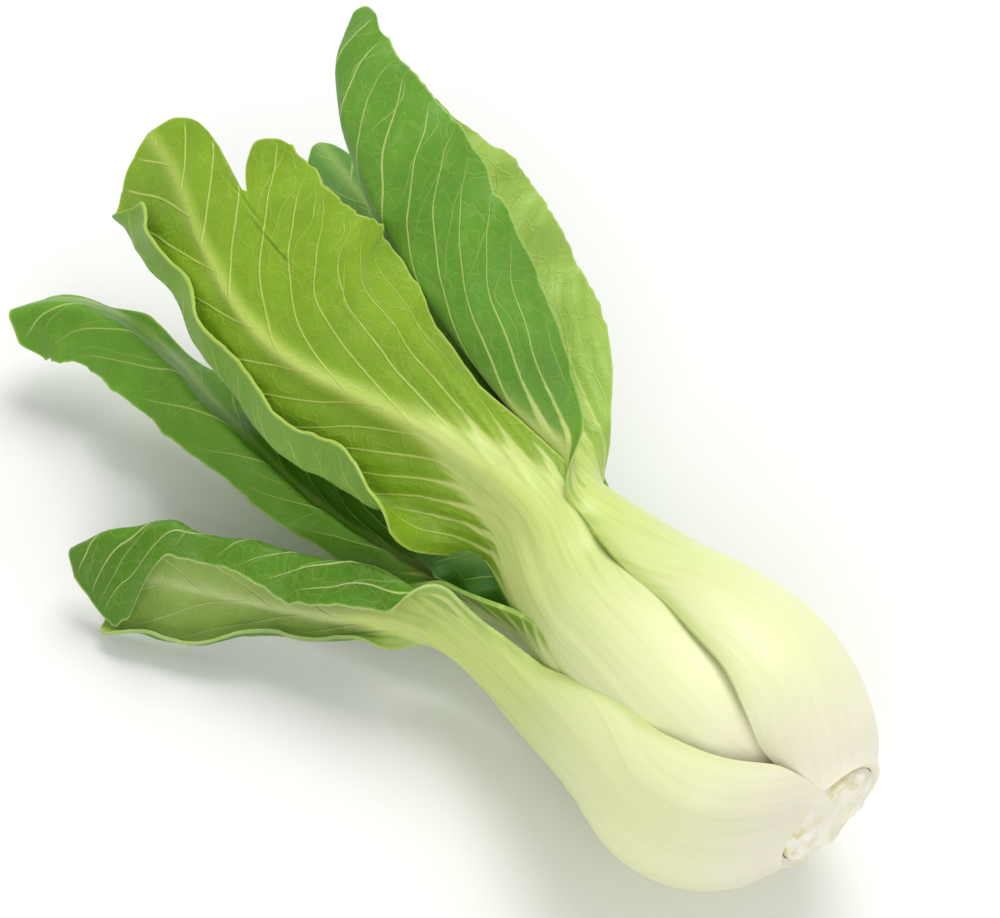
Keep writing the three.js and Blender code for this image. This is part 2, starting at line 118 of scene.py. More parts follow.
PLAIN_HALF = {
    "share": [(0, 1)],
    "cup": [(0, 60), (0.1, 50), (0.25, 55), (0.42, 45), (0.6, 20), (1, 20)],
    "roll": [(0, 0)],
    "roll_from": [(0, 0.6)],
    "roll_to": [(0, 1)],
}

USUAL_LEAF = {
    "rise": 0,
    "shrink": 1,
    "tuck": 0,
    "free": (0.12, 0.3),
    "foot": [],
    "stations": [4, 6, 10, 16, 26, 42, 56],
    "thickness": 6.5,
    "flesh": [(0, 0.3), (0.03, 0.72), (0.06, 0.94), (0.09, 1), (0.25, 0.85), (0.45, 0.6)],
    "neck": 0.42,
    "width": [
        (0, 13), (0.03, 22), (0.1, 31), (0.17, 33), (0.27, 22), (0.36, 12.5), (0.42, 11), (0.5, 20),
        (0.66, 34), (0.82, 34), (1, 14),
    ],
    "left": PLAIN_HALF,
    "right": PLAIN_HALF,
    "roll": [(0, 0)],
    "ruffle": (1.5, 9, 0),
    "tip": [
        (-1, 0.91), (-0.75, 0.952), (-0.5, 0.98), (-0.25, 0.996), (0, 1), (0.25, 0.996), (0.5, 0.98),
        (0.75, 0.952), (1, 0.91),
    ],
}

OUTER_LEAF_LEFT = {
    "rise": -3,
    "shrink": 1.05,
    "foot": [(-1.5, 12.5), (1.5, 15)],
    "stations": [10, 16, 26, 40],
    "neck": 0.5,
    "width": [
        (0, 13), (0.03, 22), (0.1, 31), (0.16, 33), (0.26, 22), (0.34, 13), (0.43, 10), (0.5, 9),
        (0.58, 18), (0.66, 26), (0.76, 29), (0.89, 28), (0.95, 26), (1, 18),
    ],
    "left": {
        **PLAIN_HALF,
        "share": [
            (0.14, 1), (0.24, 1.2), (0.37, 1.3), (0.48, 1), (0.55, 0.45), (0.64, 0.4), (0.77, 0.48),
            (0.86, 0.75), (1, 0.75),
        ],
        "cup": [(0, 60), (0.24, 50), (0.37, 40), (0.53, 40), (0.64, 0)],
        "roll": [(0.55, 0), (0.66, -120), (0.9, -120), (1, -90)],
        "roll_from": [(0.77, 0.35), (0.86, 0.5)],
        "roll_to": [(0.77, 0.75), (0.86, 0.85)],
    },
    "right": {
        **PLAIN_HALF,
        "share": [
            (0, 1), (0.05, 0.9), (0.13, 0.72), (0.24, 0.7), (0.37, 1), (0.47, 1.1), (0.64, 1),
            (0.74, 0.95), (0.82, 0.76), (0.87, 0.72), (0.93, 1.45), (0.97, 1.6), (1, 1.3),
        ],
        "cup": [(0, 60), (0.24, 55), (0.37, 30), (0.56, 10), (0.74, 0)],
        "roll": [(0.52, 0), (0.6, -150), (0.88, -150), (0.93, -175)],
        "roll_from": [(0.7, 0.42), (0.82, 0.52), (0.87, 0.52), (0.93, 0.27), (1, 0.18)],
        "roll_to": [(0.7, 0.68), (0.82, 0.82), (0.87, 0.8), (0.93, 0.48), (1, 0.42)],
    },
    "roll": [(0.5, 0), (0.64, 20), (1, 20)],
    "ruffle": (0.8, 7, 0),
    "tip": [(-1, 0.98), (-0.5, 0.99), (0, 1), (0.5, 1), (0.8, 0.985), (1, 0.96)],
    "angle": -85,
    "blade": [
        (-27.6, 58, 26.5), (-27.6, 72, 25.5), (-29.5, 88, 24), (-35, 99, 22), (-41, 107, 19),
        (-47, 117, 15.5), (-55, 129, 14), (-62, 139, 14), (-69, 148.5, 13.5), (-74, 155, 11),
        (-76.5, 158, 9),
    ],
}


def ease(t):
    t = min(1, max(0, t))
    return t * t * (3 - 2 * t)


# Value at x on the smooth curve through keys [(x, value), ...].
def along(keys, x):
    last = len(keys) - 1
    if x <= keys[0][0]:
        return keys[0][1]
    if x >= keys[last][0]:
        return keys[last][1]
    i = 0
    while x > keys[i + 1][0]:
        i += 1

    def slope(k):
        if k == 0 or k == last:
            return 0
        before = (keys[k][1] - keys[k - 1][1]) / (keys[k][0] - keys[k - 1][0])
        after = (keys[k + 1][1] - keys[k][1]) / (keys[k + 1][0] - keys[k][0])
        return 0 if before * after <= 0 else 2 * before * after / (before + after)

    h = keys[i + 1][0] - keys[i][0]
    t = (x - keys[i][0]) / h
    rise = (t ** 3 - 2 * t * t + t) * h * slope(i) + (t ** 3 - t * t) * h * slope(i + 1)
    return (2 * t ** 3 - 3 * t * t + 1) * keys[i][1] + (3 * t * t - 2 * t ** 3) * keys[i + 1][1] + rise


# The same curve evened out over a short stretch to both sides of x.
def evenly(keys, x):
    return sum(along(keys, x + step) for step in (-0.04, -0.02, 0, 0.02, 0.04)) / 5


# Places and directions down the middle of a leaf's inner side, at even steps along it, and its length.
def leaf_spine(leaf, steps=300):
    a = math.radians(leaf["angle"])
    rings = leaf["foot"] + [(y + leaf["rise"], along(BULB, y) * leaf["shrink"]) for y in leaf["stations"]]
    knots = []
    for y, r in rings:
        lean = along(LEAN, y - leaf["rise"])
        knots.append(Vector((lean + r * math.sin(a), y, AXIS_HEIGHT + r * math.cos(a))))
    knots += [Vector(p) for p in leaf["blade"]]
    knots = [2 * knots[0] - knots[1]] + knots + [2 * knots[-1] - knots[-2]]
    spans = len(knots) - 3

    def point(t):
        i = min(spans - 1, max(0, int(t * spans)))
        w = t * spans - i
        p0, p1, p2, p3 = knots[i:i + 4]
        d0, d1, d2 = ((q - p).length ** 0.5 for p, q in ((p0, p1), (p1, p2), (p2, p3)))
        t1 = ((p1 - p0) / d0 - (p2 - p0) / (d0 + d1) + (p2 - p1) / d1) * d1
        t2 = ((p2 - p1) / d1 - (p3 - p1) / (d1 + d2) + (p3 - p2) / d2) * d1
        return p1 + w * t1 + w * w * (3 * (p2 - p1) - 2 * t1 - t2) + w ** 3 * (2 * (p1 - p2) + t1 + t2)

    marks = [point(k / 400) for k in range(401)]
    run = [0]
    for k in range(400):
        run.append(run[-1] + (marks[k + 1] - marks[k]).length)
    spots = []
    k = 0
    for step in range(steps + 1):
        want = run[-1] * step / steps
        while k < 399 and run[k + 1] < want:
            k += 1
        t = (k + (want - run[k]) / (run[k + 1] - run[k])) / 400
        ahead, behind = point(min(1, t + 0.0001)), point(max(0, t - 0.0001))
        spots.append((point(t), (ahead - behind).normalized()))
    return spots, run[-1]


# The leaf as a bent sheet: gives the inner side, the outward direction and the half width at (u, v),
# where u runs across from -1 to 1 and v runs from the base at 0 to the tip at 1.
def leaf_form(leaf, steps=300):
    spots, length = leaf_spine(leaf, steps)
    a = math.radians(leaf["angle"])
    radial_side = Vector((math.cos(a), 0, -math.sin(a)))
    frames = []
    normal = None
    for i, (at, tangent) in enumerate(spots):
        v = i / steps
        if v < leaf["free"][0]:
            normal = radial_side.cross(tangent)
        normal = (normal - tangent * normal.dot(tangent)).normalized()
        turned = Matrix.Rotation(math.radians(along(leaf["roll"], v)), 3, tangent) @ normal
        frames.append((at, turned, tangent.cross(turned)))
    strips = {}

    def strip(v):
        if v not in strips:
            q = v * steps
            i = min(steps - 1, int(q))
            at, out, side = (f.lerp(g, q - i) for f, g in zip(frames[i], frames[i + 1]))
            halves = []
            for half in (leaf["left"], leaf["right"]):
                width = evenly(leaf["width"], v) * evenly(half["share"], v)
                cup, roll = (math.radians(along(half[key], v)) for key in ("cup", "roll"))
                start, end = (along(half[key], v) for key in ("roll_from", "roll_to"))
                halves.append((width, cup, roll, start, end))
            strips[v] = at, out.normalized(), side.normalized(), halves
        return strips[v]

    def form(u, v):
        at, out, side, halves = strip(v)
        width, cup, roll, start, end = halves[0 if u < 0 else 1]
        way = -1 if u < 0 else 1
        reach = abs(u)
        x = z = 0
        for k in range(24):
            q = (k + 0.5) / 24 * reach
            heading = cup * q + roll * ease((q - start) / (end - start))
            x += math.cos(heading) * reach * width / 24
            z -= math.sin(heading) * reach * width / 24
        heading = cup * reach + roll * ease((reach - start) / (end - start))
        spot = at + side * (x * way) + out * z
        facing = out * math.cos(heading) + side * (math.sin(heading) * way)
        free = ease((v - leaf["free"][0]) / (leaf["free"][1] - leaf["free"][0]))
        if free < 1:
            lean = along(LEAN, at.y)
            r = math.hypot(at.x - lean, at.z - AXIS_HEIGHT)
            turn = u * width / max(r, 1)
            radial = Vector((math.sin(a + turn), 0, math.cos(a + turn)))
            held = Vector((lean, at.y, AXIS_HEIGHT)) + radial * r * (1 - leaf["tuck"] * turn * turn)
            level = out.dot(Vector((math.sin(a), 0, math.cos(a))))
            spot = held.lerp(spot, free)
            facing = (radial * level + Vector((0, out.y, 0))).normalized().lerp(facing, free).normalized()
        height, waves, phase = leaf["ruffle"]
        inside = ease((v - leaf["neck"] - 0.03) / 0.15)
        swing = math.sin(waves * math.tau * v + phase + (0 if u < 0 else 2.1))
        return spot + facing * (height * inside * reach ** 3 * swing), facing, width

    return form, length


# How far the blade stands off its smooth form at a place: it sinks along the side veins, swells between
# them, and crinkles finely towards the edge.
def side_vein(across, run):
    slant = 4.8 - 2.9 * ease((run + 30) / 120)
    return (run - slant * abs(across) + 90) / 17 + (0.5 if across > 0 else 0)


def pucker(across, run, reach, seed):
    order = side_vein(across, run)
    swell = abs(math.cos(math.pi * order)) ** 0.7 - 0.6
    crinkle = noise.fractal(Vector((across * 0.11, run * 0.11, seed)), 0.9, 2.1, 3)
    return ease((run - 4) / 22) * (0.34 * swell * ease(reach * 4) + 0.42 * crinkle * ease(reach * 3))


# How far the outer side stands out along its fibres: soft ribs down the stalk, and the first side veins,
# which run up from the stalk as fine ridges.
def ridges(across, run, reach, seed):
    soft = 0.3 * noise.noise(Vector((across * 0.34, run * 0.012, seed * 7.1))) * ease((12 - run) / 20)
    off = abs(side_vein(across, run) % 1 - 0.5) * 2
    vein = 0.5 * ease(1 - (1 - off) / 0.4) * ease((run + 6) / 16) * ease((45 - run) / 35) * ease(reach * 3)
    return soft * (1 - reach ** 4) + vein * (1 - reach ** 6)


def leaf_piece(leaf, name, rows, row_at, thickness_at, seed):
    form, length = leaf["form"]
    bm = bmesh.new()
    bmesh.ops.create_grid(bm, x_segments=COLUMNS, y_segments=rows, size=1)
    bmesh.ops.extrude_face_region(bm, geom=bm.faces[:] + bm.edges[:] + bm.verts[:], use_keep_orig=True)
    bm.verts.ensure_lookup_table()
    half = len(bm.verts) // 2
    flat = bm.verts.layers.float_vector.new("flat")
    rim = bm.verts.layers.float_vector.new("rim")
    shown = {}
    for number, vert in enumerate(bm.verts):
        u = round(vert.co.x, 6)
        t = round((vert.co.y + 1) / 2, 6)
        outer = number >= half
        if (u, t) not in shown:
            v = row_at(u, t)
            run = (v - leaf["neck"]) * length
            frill = noise.noise(Vector((run * 0.16, seed, 3 * u)))
            frill += 0.6 * noise.noise(Vector((run * 0.4, seed, 5 * u)))
            inward = 1 - 0.03 * frill * ease((abs(u) - 0.8) * 5) * ease((run - 6) / 15)
            at, facing, width = form(u * inward, v)
            at = at + facing * pucker(u * width, run, abs(u), seed)
            edge = min((1 - abs(u)) * width, (along(leaf["tip"], u) - v) * length)
            thick = thickness_at(u, v, width) + ridges(u * width, run, abs(u), seed)
            shown[u, t] = at, facing, thick, (u * width, run, v * length), (u, edge)
        at, facing, thick, place_on, at_rim = shown[u, t]
        spot = at + facing * thick if outer else at.copy()
        # what would dip under the table lies flat on it
        floor = 0 if outer == (facing.z < 0) else BLADE_THICKNESS
        spot.z = max(spot.z, floor)
        vert.co = HEAD + (spot - Vector((0, 0, AXIS_HEIGHT))) / 1000
        vert[flat] = place_on
        vert[rim] = (at_rim[0], at_rim[1], 1 if outer else 0)
    bmesh.ops.recalc_face_normals(bm, faces=bm.faces[:])
    for face in bm.faces:
        face.smooth = True
    for edge in bm.edges:
        if edge.calc_face_angle(0) > 0.9:
            edge.smooth = False
    mesh = bpy.data.meshes.new(name)
    bm.to_mesh(mesh)
    bm.free()
    piece = bpy.data.objects.new(name, mesh)
    bpy.context.scene.collection.objects.link(piece)
    return piece


# Both pieces of a leaf, in their places: the stalk, and the blade that carries on from it past a seam
# shaped like a tongue.
def grow_leaf(name, values, skin, seed):
    leaf = {**USUAL_LEAF, **values}
    leaf["form"] = leaf_form(leaf)
    length = leaf["form"][1]
    neck = leaf["neck"]

    def seam(u):
        return neck + TONGUE / length * (1 - u * u)

    def tip(u):
        return along(leaf["tip"], u)

    def thickness(u, v, width):
        flesh = leaf["thickness"] * along(leaf["flesh"], v)
        crescent = EDGE_THICKNESS + (flesh - EDGE_THICKNESS) * (1 - abs(u) ** 2.2)
        rib_width = along([(neck, 4.2), (neck + 0.25, 2.2), (1, 1.1)], v)
        rib = along([(neck, 3), (neck + 0.25, 1.6), (1, 0.3)], v) * math.exp(-((u * width / rib_width) ** 2))
        share = ease((v - neck + 0.1) / 0.16)
        return crescent * (1 - share) + (BLADE_THICKNESS + rib) * share

    stalk = leaf_piece(leaf, name + "_stalk_skin", STALK_ROWS, lambda u, t: t * seam(u), thickness, seed)
    blade = leaf_piece(
        leaf, name + "_blade_skin", BLADE_ROWS, lambda u, t: seam(u) + t * (tip(u) - seam(u)),
        thickness, seed,
    )
    for piece, part in ((stalk, "stalk"), (blade, "blade")):
        piece.data.materials.append(skin)
        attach(piece, "root")
        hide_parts(name + "_" + part)
    return stalk, blade


def paint(code):
    parts = [int(code[i:i + 2], 16) / 255 for i in (1, 3, 5)]
    return tuple(p / 12.92 if p < 0.04045 else ((p + 0.055) / 1.055) ** 2.4 for p in parts) + (1,)


def number(tree, operation, *inputs, clamp=False):
    node = tree.nodes.new("ShaderNodeMath")
    node.operation = operation
    node.use_clamp = clamp
    for socket, value in zip(node.inputs, inputs):
        if isinstance(value, (int, float)):
            socket.default_value = value
        else:
            tree.links.new(value, socket)
    return node.outputs[0]


# How far a value has come from low to high, eased at both ends.
def between(tree, value, low, high, start=0, end=1):
    node = tree.nodes.new("ShaderNodeMapRange")
    node.interpolation_type = "SMOOTHSTEP"
    limits = (("From Min", low), ("From Max", high), ("To Min", start), ("To Max", end))
    for key, given in (("Value", value), *limits):
        if isinstance(given, (int, float)):
            node.inputs[key].default_value = given
        else:
            tree.links.new(given, node.inputs[key])
    return node.outputs[0]


def mixed(tree, share, first, second, way="MIX"):
    node = tree.nodes.new("ShaderNodeMix")
    node.data_type = "RGBA"
    node.blend_type = way
    for socket, value in ((node.inputs[0], share), (node.inputs[6], first), (node.inputs[7], second)):
        if isinstance(value, (int, float, tuple)):
            socket.default_value = value
        else:
            tree.links.new(value, socket)
    return node.outputs[2]


def speckle(tree, x, y, z, scale, detail=2):
    place = tree.nodes.new("ShaderNodeCombineXYZ")
    for socket, value in zip(place.inputs, (x, y, z)):
        if isinstance(value, (int, float)):
            socket.default_value = value
        else:
            tree.links.new(value, socket)
    node = tree.nodes.new("ShaderNodeTexNoise")
    node.inputs["Scale"].default_value = scale
    node.inputs["Detail"].default_value = detail
    tree.links.new(place.outputs[0], node.inputs["Vector"])
    return node.outputs["Fac"], place.outputs[0]


# The skin of a leaf, from the creamy foot of the stalk to the green blade: long fibres in the stalk, a
# white fan where it runs out into the blade, a tapering midrib, side veins that fork, a fine net between
# them, and a pale rim. Flat is (mm across, mm past the neck, mm from the base); Rim is (-1 to 1 across,
# mm to the nearest edge, 1 on the outer side).
def leaf_skin_group():
    group = bpy.data.node_groups.new("leaf_skin", "ShaderNodeTree")
    for name, kind in (
        ("Flat", "NodeSocketVector"), ("Rim", "NodeSocketVector"), ("Seed", "NodeSocketFloat"),
        ("Wing", "NodeSocketFloat"),
        ("Inner Green", "NodeSocketColor"), ("Outer Green", "NodeSocketColor"), ("Vein", "NodeSocketColor"),
    ):
        group.interface.new_socket(name, in_out="INPUT", socket_type=kind)
    for name, kind in (
        ("Colour", "NodeSocketColor"), ("Roughness", "NodeSocketFloat"), ("Height", "NodeSocketFloat"),
    ):
        group.interface.new_socket(name, in_out="OUTPUT", socket_type=kind)
    given = group.nodes.new("NodeGroupInput").outputs
    result = group.nodes.new("NodeGroupOutput").inputs

    def of(operation, *inputs, clamp=False):
        return number(group, operation, *inputs, clamp=clamp)

    split = group.nodes.new("ShaderNodeSeparateXYZ")
    group.links.new(given["Flat"], split.inputs[0])
    x, run, rise = split.outputs
    split = group.nodes.new("ShaderNodeSeparateXYZ")
    group.links.new(given["Rim"], split.inputs[0])
    u, edge, outer = split.outputs
    seed = given["Seed"]
    a = of("ABSOLUTE", x)
    reach = of("ABSOLUTE", u)

    wander, spot = speckle(group, x, run, seed, 0.07, 3)
    bend = group.nodes.new("ShaderNodeTexNoise")
    bend.inputs["Scale"].default_value = 0.16
    group.links.new(spot, bend.inputs["Vector"])
    sway = group.nodes.new("ShaderNodeVectorMath")
    sway.operation = "MULTIPLY_ADD"
    sway.inputs[1].default_value = (9, 9, 0)
    group.links.new(bend.outputs["Color"], sway.inputs[0])
    group.links.new(spot, sway.inputs[2])
    spot = sway.outputs[0]
    wander = of("SUBTRACT", wander, 0.5)
    drift, _ = speckle(group, x, run, of("ADD", seed, 40), 0.045, 1)
    drift = of("SUBTRACT", drift, 0.5)
    fibres, _ = speckle(group, of("MULTIPLY", x, 0.9), of("MULTIPLY", rise, 0.035), seed, 1, 3)
    fine, _ = speckle(group, of("MULTIPLY", x, 2.6), of("MULTIPLY", rise, 0.06), seed, 1, 2)

    # side veins: lines of equal (run - slant * a), every 17 mm, bent a little by slow noise
    slant = between(group, run, -30, 90, 4.8, 1.9)
    right = of("GREATER_THAN", x, 0)
    order = of("ADD", of("SUBTRACT", run, of("MULTIPLY", slant, a)), 90)
    order = of("ADD", of("DIVIDE", order, 17), of("MULTIPLY", right, 0.5))
    order = of("ADD", order, of("MULTIPLY", drift, of("ADD", 0.1, of("MULTIPLY", a, 0.045))))
    off = of("ABSOLUTE", of("SUBTRACT", of("FRACT", order), 0.5))
    thin = between(group, run, -10, 55, 0.15, 0.05)
    thin = of("MULTIPLY", thin, between(group, reach, 0.35, 1, 1, 0.45))
    vein = between(group, off, of("MULTIPLY", thin, 0.25), thin, 1, 0)
    vein = of("MULTIPLY", vein, between(group, edge, 0.5, 5))
    # forks: a second set between the first, only in the outer part of each half
    order2 = of("ADD", of("SUBTRACT", run, of("MULTIPLY", of("MULTIPLY", slant, 0.5), a)), 90)
    order2 = of("ADD", of("DIVIDE", order2, 13), of("MULTIPLY", drift, 2.2))
    off2 = of("ABSOLUTE", of("SUBTRACT", of("FRACT", order2), 0.5))
    fork = of("MULTIPLY", between(group, off2, 0.004, 0.03, 1, 0), between(group, reach, 0.3, 0.5))
    fork = of("MULTIPLY", fork, between(group, edge, 1, 6))
    # the fine net
    cells = group.nodes.new("ShaderNodeTexVoronoi")
    cells.feature = "DISTANCE_TO_EDGE"
    cells.inputs["Scale"].default_value = 0.22
    group.links.new(spot, cells.inputs["Vector"])
    net = between(group, cells.outputs["Distance"], 0.01, 0.07, 1, 0)
    small = group.nodes.new("ShaderNodeTexVoronoi")
    small.feature = "DISTANCE_TO_EDGE"
    small.inputs["Scale"].default_value = 0.62
    group.links.new(spot, small.inputs["Vector"])
    mesh = between(group, small.outputs["Distance"], 0.02, 0.12, 1, 0)
    # midrib
    rib_width = of("MAXIMUM", between(group, run, -5, 45, 7.5, 2), between(group, run, 30, 110, 2.4, 0.9))
    rib = of("EXPONENT", of("MULTIPLY", of("POWER", of("DIVIDE", a, rib_width), 2), -1))
    # how green: the white of the stalk runs into the blade in streaks
    streak = of("MULTIPLY", of("SUBTRACT", fibres, 0.5), 22)
    pale = of("MULTIPLY", between(group, off, 0.04, 0.3, 1, 0), between(group, reach, 0.1, 0.6, 4, 22))
    pale = of("MULTIPLY", pale, between(group, run, -34, -6, 0.15, 1))
    wing = of("MULTIPLY", of("POWER", reach, 1.5), given["Wing"])
    core = of("MULTIPLY", rib, between(group, run, 0, 60, 36, 0))
    green = of("ADD", of("ADD", run, wing), of("SUBTRACT", streak, of("ADD", pale, core)))
    green = between(group, green, 0, 18)

    # colours of the blade
    dapple = of("ADD", 0.5, of("MULTIPLY", wander, 1.3), clamp=True)
    leaf = mixed(group, outer, given["Inner Green"], given["Outer Green"])
    shade = mixed(group, dapple, (0.72, 0.76, 0.62, 1), (1.18, 1.14, 1.1, 1))
    leaf = mixed(group, 1.0, leaf, shade, "MULTIPLY")
    lines = of("MAXIMUM", of("MULTIPLY", vein, 0.85), of("MULTIPLY", fork, 0.4))
    lines = of("MAXIMUM", lines, of("MULTIPLY", net, 0.1))
    lines = of("MAXIMUM", lines, of("MULTIPLY", mesh, 0.05))
    lines = of("MAXIMUM", lines, of("MULTIPLY", rib, between(group, run, 40, 115, 1, 0.55)))
    lines = of("MAXIMUM", lines, of("MULTIPLY", between(group, edge, 0.15, 0.7, 1, 0), 0.55))
    leaf = mixed(group, lines, leaf, given["Vein"])
    # colours of the stalk, from foot to neck
    stalk = mixed(group, between(group, rise, 2, 30), paint("#f3eed8"), paint("#ecefbb"))
    stalk = mixed(group, between(group, rise, 22, 92), stalk, paint("#cedd80"))
    tint = between(group, fibres, 0.42, 0.72)
    tint = of("MULTIPLY", tint, between(group, run, -60, 6, 0.08, 0.6))
    stalk = mixed(group, tint, stalk, paint("#b5cb68"))
    stalk = mixed(group, of("MULTIPLY", between(group, fine, 0.5, 0.8), 0.12), stalk, paint("#f4f3da"))
    # painted shade and painted light shining through thin tissue: the thin side edges of the stalk are
    # painted greener, more so towards the neck
    stalk_edge_painted_shade = of("MULTIPLY", between(group, edge, 2.6, 0.2, 0, 0.6), between(group, rise, 14, 50, 0.15, 1))
    stalk = mixed(group, stalk_edge_painted_shade, stalk, paint("#b9cc6d"))
    group.links.new(mixed(group, green, stalk, leaf), result["Colour"])

    rough = of("ADD", between(group, green, 0, 1, 0.34, 0.44), of("MULTIPLY", wander, 0.14))
    group.links.new(rough, result["Roughness"])
    # veins lie sunk on the inner side and stand out on the outer side
    lift = of("SUBTRACT", of("MULTIPLY", outer, 2), 1)
    fine_relief = of("ADD", of("MULTIPLY", fork, 0.3), of("MULTIPLY", net, 0.2))
    relief = of("ADD", of("MULTIPLY", vein, 0.5), fine_relief)
    relief = of("MULTIPLY", of("MULTIPLY", relief, lift), green)
    grain = of("MULTIPLY", of("SUBTRACT", fibres, 0.5), of("SUBTRACT", 0.28, of("MULTIPLY", green, 0.2)))
    group.links.new(of("ADD", relief, grain), result["Height"])
    return group


LEAF_SKIN = leaf_skin_group()


# A leaf's own material: the shared skin with this leaf's greens, slightly soft to light.
def leaf_material(name, inner, outer, vein, seed, wing=24):
    material = bpy.data.materials.new(name)
    material.use_nodes = True
    tree = material.node_tree
    skin = tree.nodes.new("ShaderNodeGroup")
    skin.node_tree = LEAF_SKIN
    for layer, socket in (("flat", "Flat"), ("rim", "Rim")):
        node = tree.nodes.new("ShaderNodeAttribute")
        node.attribute_name = layer
        tree.links.new(node.outputs["Vector"], skin.inputs[socket])
    skin.inputs["Seed"].default_value = seed
    skin.inputs["Wing"].default_value = wing
    skin.inputs["Inner Green"].default_value = paint(inner)
    skin.inputs["Outer Green"].default_value = paint(outer)
    skin.inputs["Vein"].default_value = paint(vein)
    shader = tree.nodes["Principled BSDF"]
    shader.inputs["Subsurface Weight"].default_value = 0.18
    shader.inputs["Subsurface Radius"].default_value = (0.7, 1.0, 0.25)
    shader.inputs["Subsurface Scale"].default_value = 0.003
    shader.inputs["Specular IOR Level"].default_value = 0.3
    bump = tree.nodes.new("ShaderNodeBump")
    bump.inputs["Distance"].default_value = 0.0005
    bump.inputs["Strength"].default_value = 0.7
    tree.links.new(skin.outputs["Height"], bump.inputs["Height"])
    tree.links.new(bump.outputs["Normal"], shader.inputs["Normal"])
    tree.links.new(skin.outputs["Colour"], shader.inputs["Base Color"])
    tree.links.new(skin.outputs["Roughness"], shader.inputs["Roughness"])
    return material


grow_leaf(
    "outer_leaf_left", OUTER_LEAF_LEFT,
    leaf_material("outer_leaf_left_skin", "#578a14", "#a3bf62", "#c6d78c", 1, 30), 1,
)


# Outer leaf on the right: the widest white stalk, and a tall blade folded into a V that opens outwards,
# so that its darker inner side shows in front and its paler outer side behind.
OUTER_LEAF_RIGHT = {
    "rise": 2,
    "foot": [(-1.5, 12.5), (3, 14.4)],
    "stations": [10, 16, 26, 42, 56],
    "width": [
        (0, 13), (0.03, 22), (0.1, 31), (0.17, 33), (0.27, 22), (0.36, 12.5), (0.42, 11), (0.5, 26),
        (0.62, 32), (0.75, 31), (0.85, 25), (0.95, 17), (1, 13),
    ],
    "left": {
        **PLAIN_HALF,
        "share": [
            (0, 1), (0.05, 0.93), (0.12, 0.72), (0.25, 0.65), (0.35, 0.8), (0.42, 0.8), (0.5, 0.8),
            (0.6, 0.92), (0.75, 1.07), (0.85, 1.05), (1, 0.9),
        ],
        "cup": [(0, 60), (0.25, 55), (0.38, 35), (0.46, -40), (1, -40)],
        "roll": [(0.4, 0), (0.46, -70)],
        "roll_from": [(0, 0)],
        "roll_to": [(0, 0.3)],
    },
    "right": {
        **PLAIN_HALF,
        "share": [
            (0.4, 1), (0.44, 1.3), (0.5, 1.2), (0.6, 1.16), (0.7, 1.24), (0.8, 1.2), (0.9, 0.95), (1, 0.8),
        ],
        "cup": [(0, 60), (0.25, 55), (0.38, 35), (0.44, -20), (1, -20)],
        "roll": [(0.38, 0), (0.44, -50)],
        "roll_from": [(0, 0)],
        "roll_to": [(0, 0.3)],
    },
    "tip": [(-1, 0.945), (-0.75, 0.985), (-0.4, 1), (0, 0.98), (0.5, 0.95), (1, 0.9)],
    "angle": 50,
    "blade": [
        (10, 76, 44), (8, 88, 46), (7, 102, 51), (6.5, 126, 60), (9.5, 152.5, 67), (19.3, 179.4, 72),
        (29.5, 194.3, 75), (41, 202.5, 76),
    ],
}
grow_leaf(
    "outer_leaf_right", OUTER_LEAF_RIGHT,
    leaf_material("outer_leaf_right_skin", "#659a2c", "#a9c860", "#bcd277", 2, 34), 2,
)


# Outer leaf underneath: the leaf that the head rests on, hidden for the most part by the others.
OUTER_LEAF_UNDER = {
    "shrink": 1.1,
    "tuck": 0.15,
    "foot": [(-1.5, 12.5)],
    "width": [
        (0, 9), (0.03, 15), (0.1, 22), (0.17, 24), (0.27, 18), (0.36, 12.5), (0.42, 11), (0.5, 18),
        (0.66, 25), (0.82, 24), (1, 10),
    ],
    "angle": 176,
    "blade": [(-1, 72, 14), (4, 92, 11), (12, 120, 5), (18, 150, 2), (24, 185, 0.8)],
}
grow_leaf(
    "outer_leaf_under", OUTER_LEAF_UNDER,
    leaf_material("outer_leaf_under_skin", "#5d9230", "#7da53a", "#b5c972", 3), 3,
)


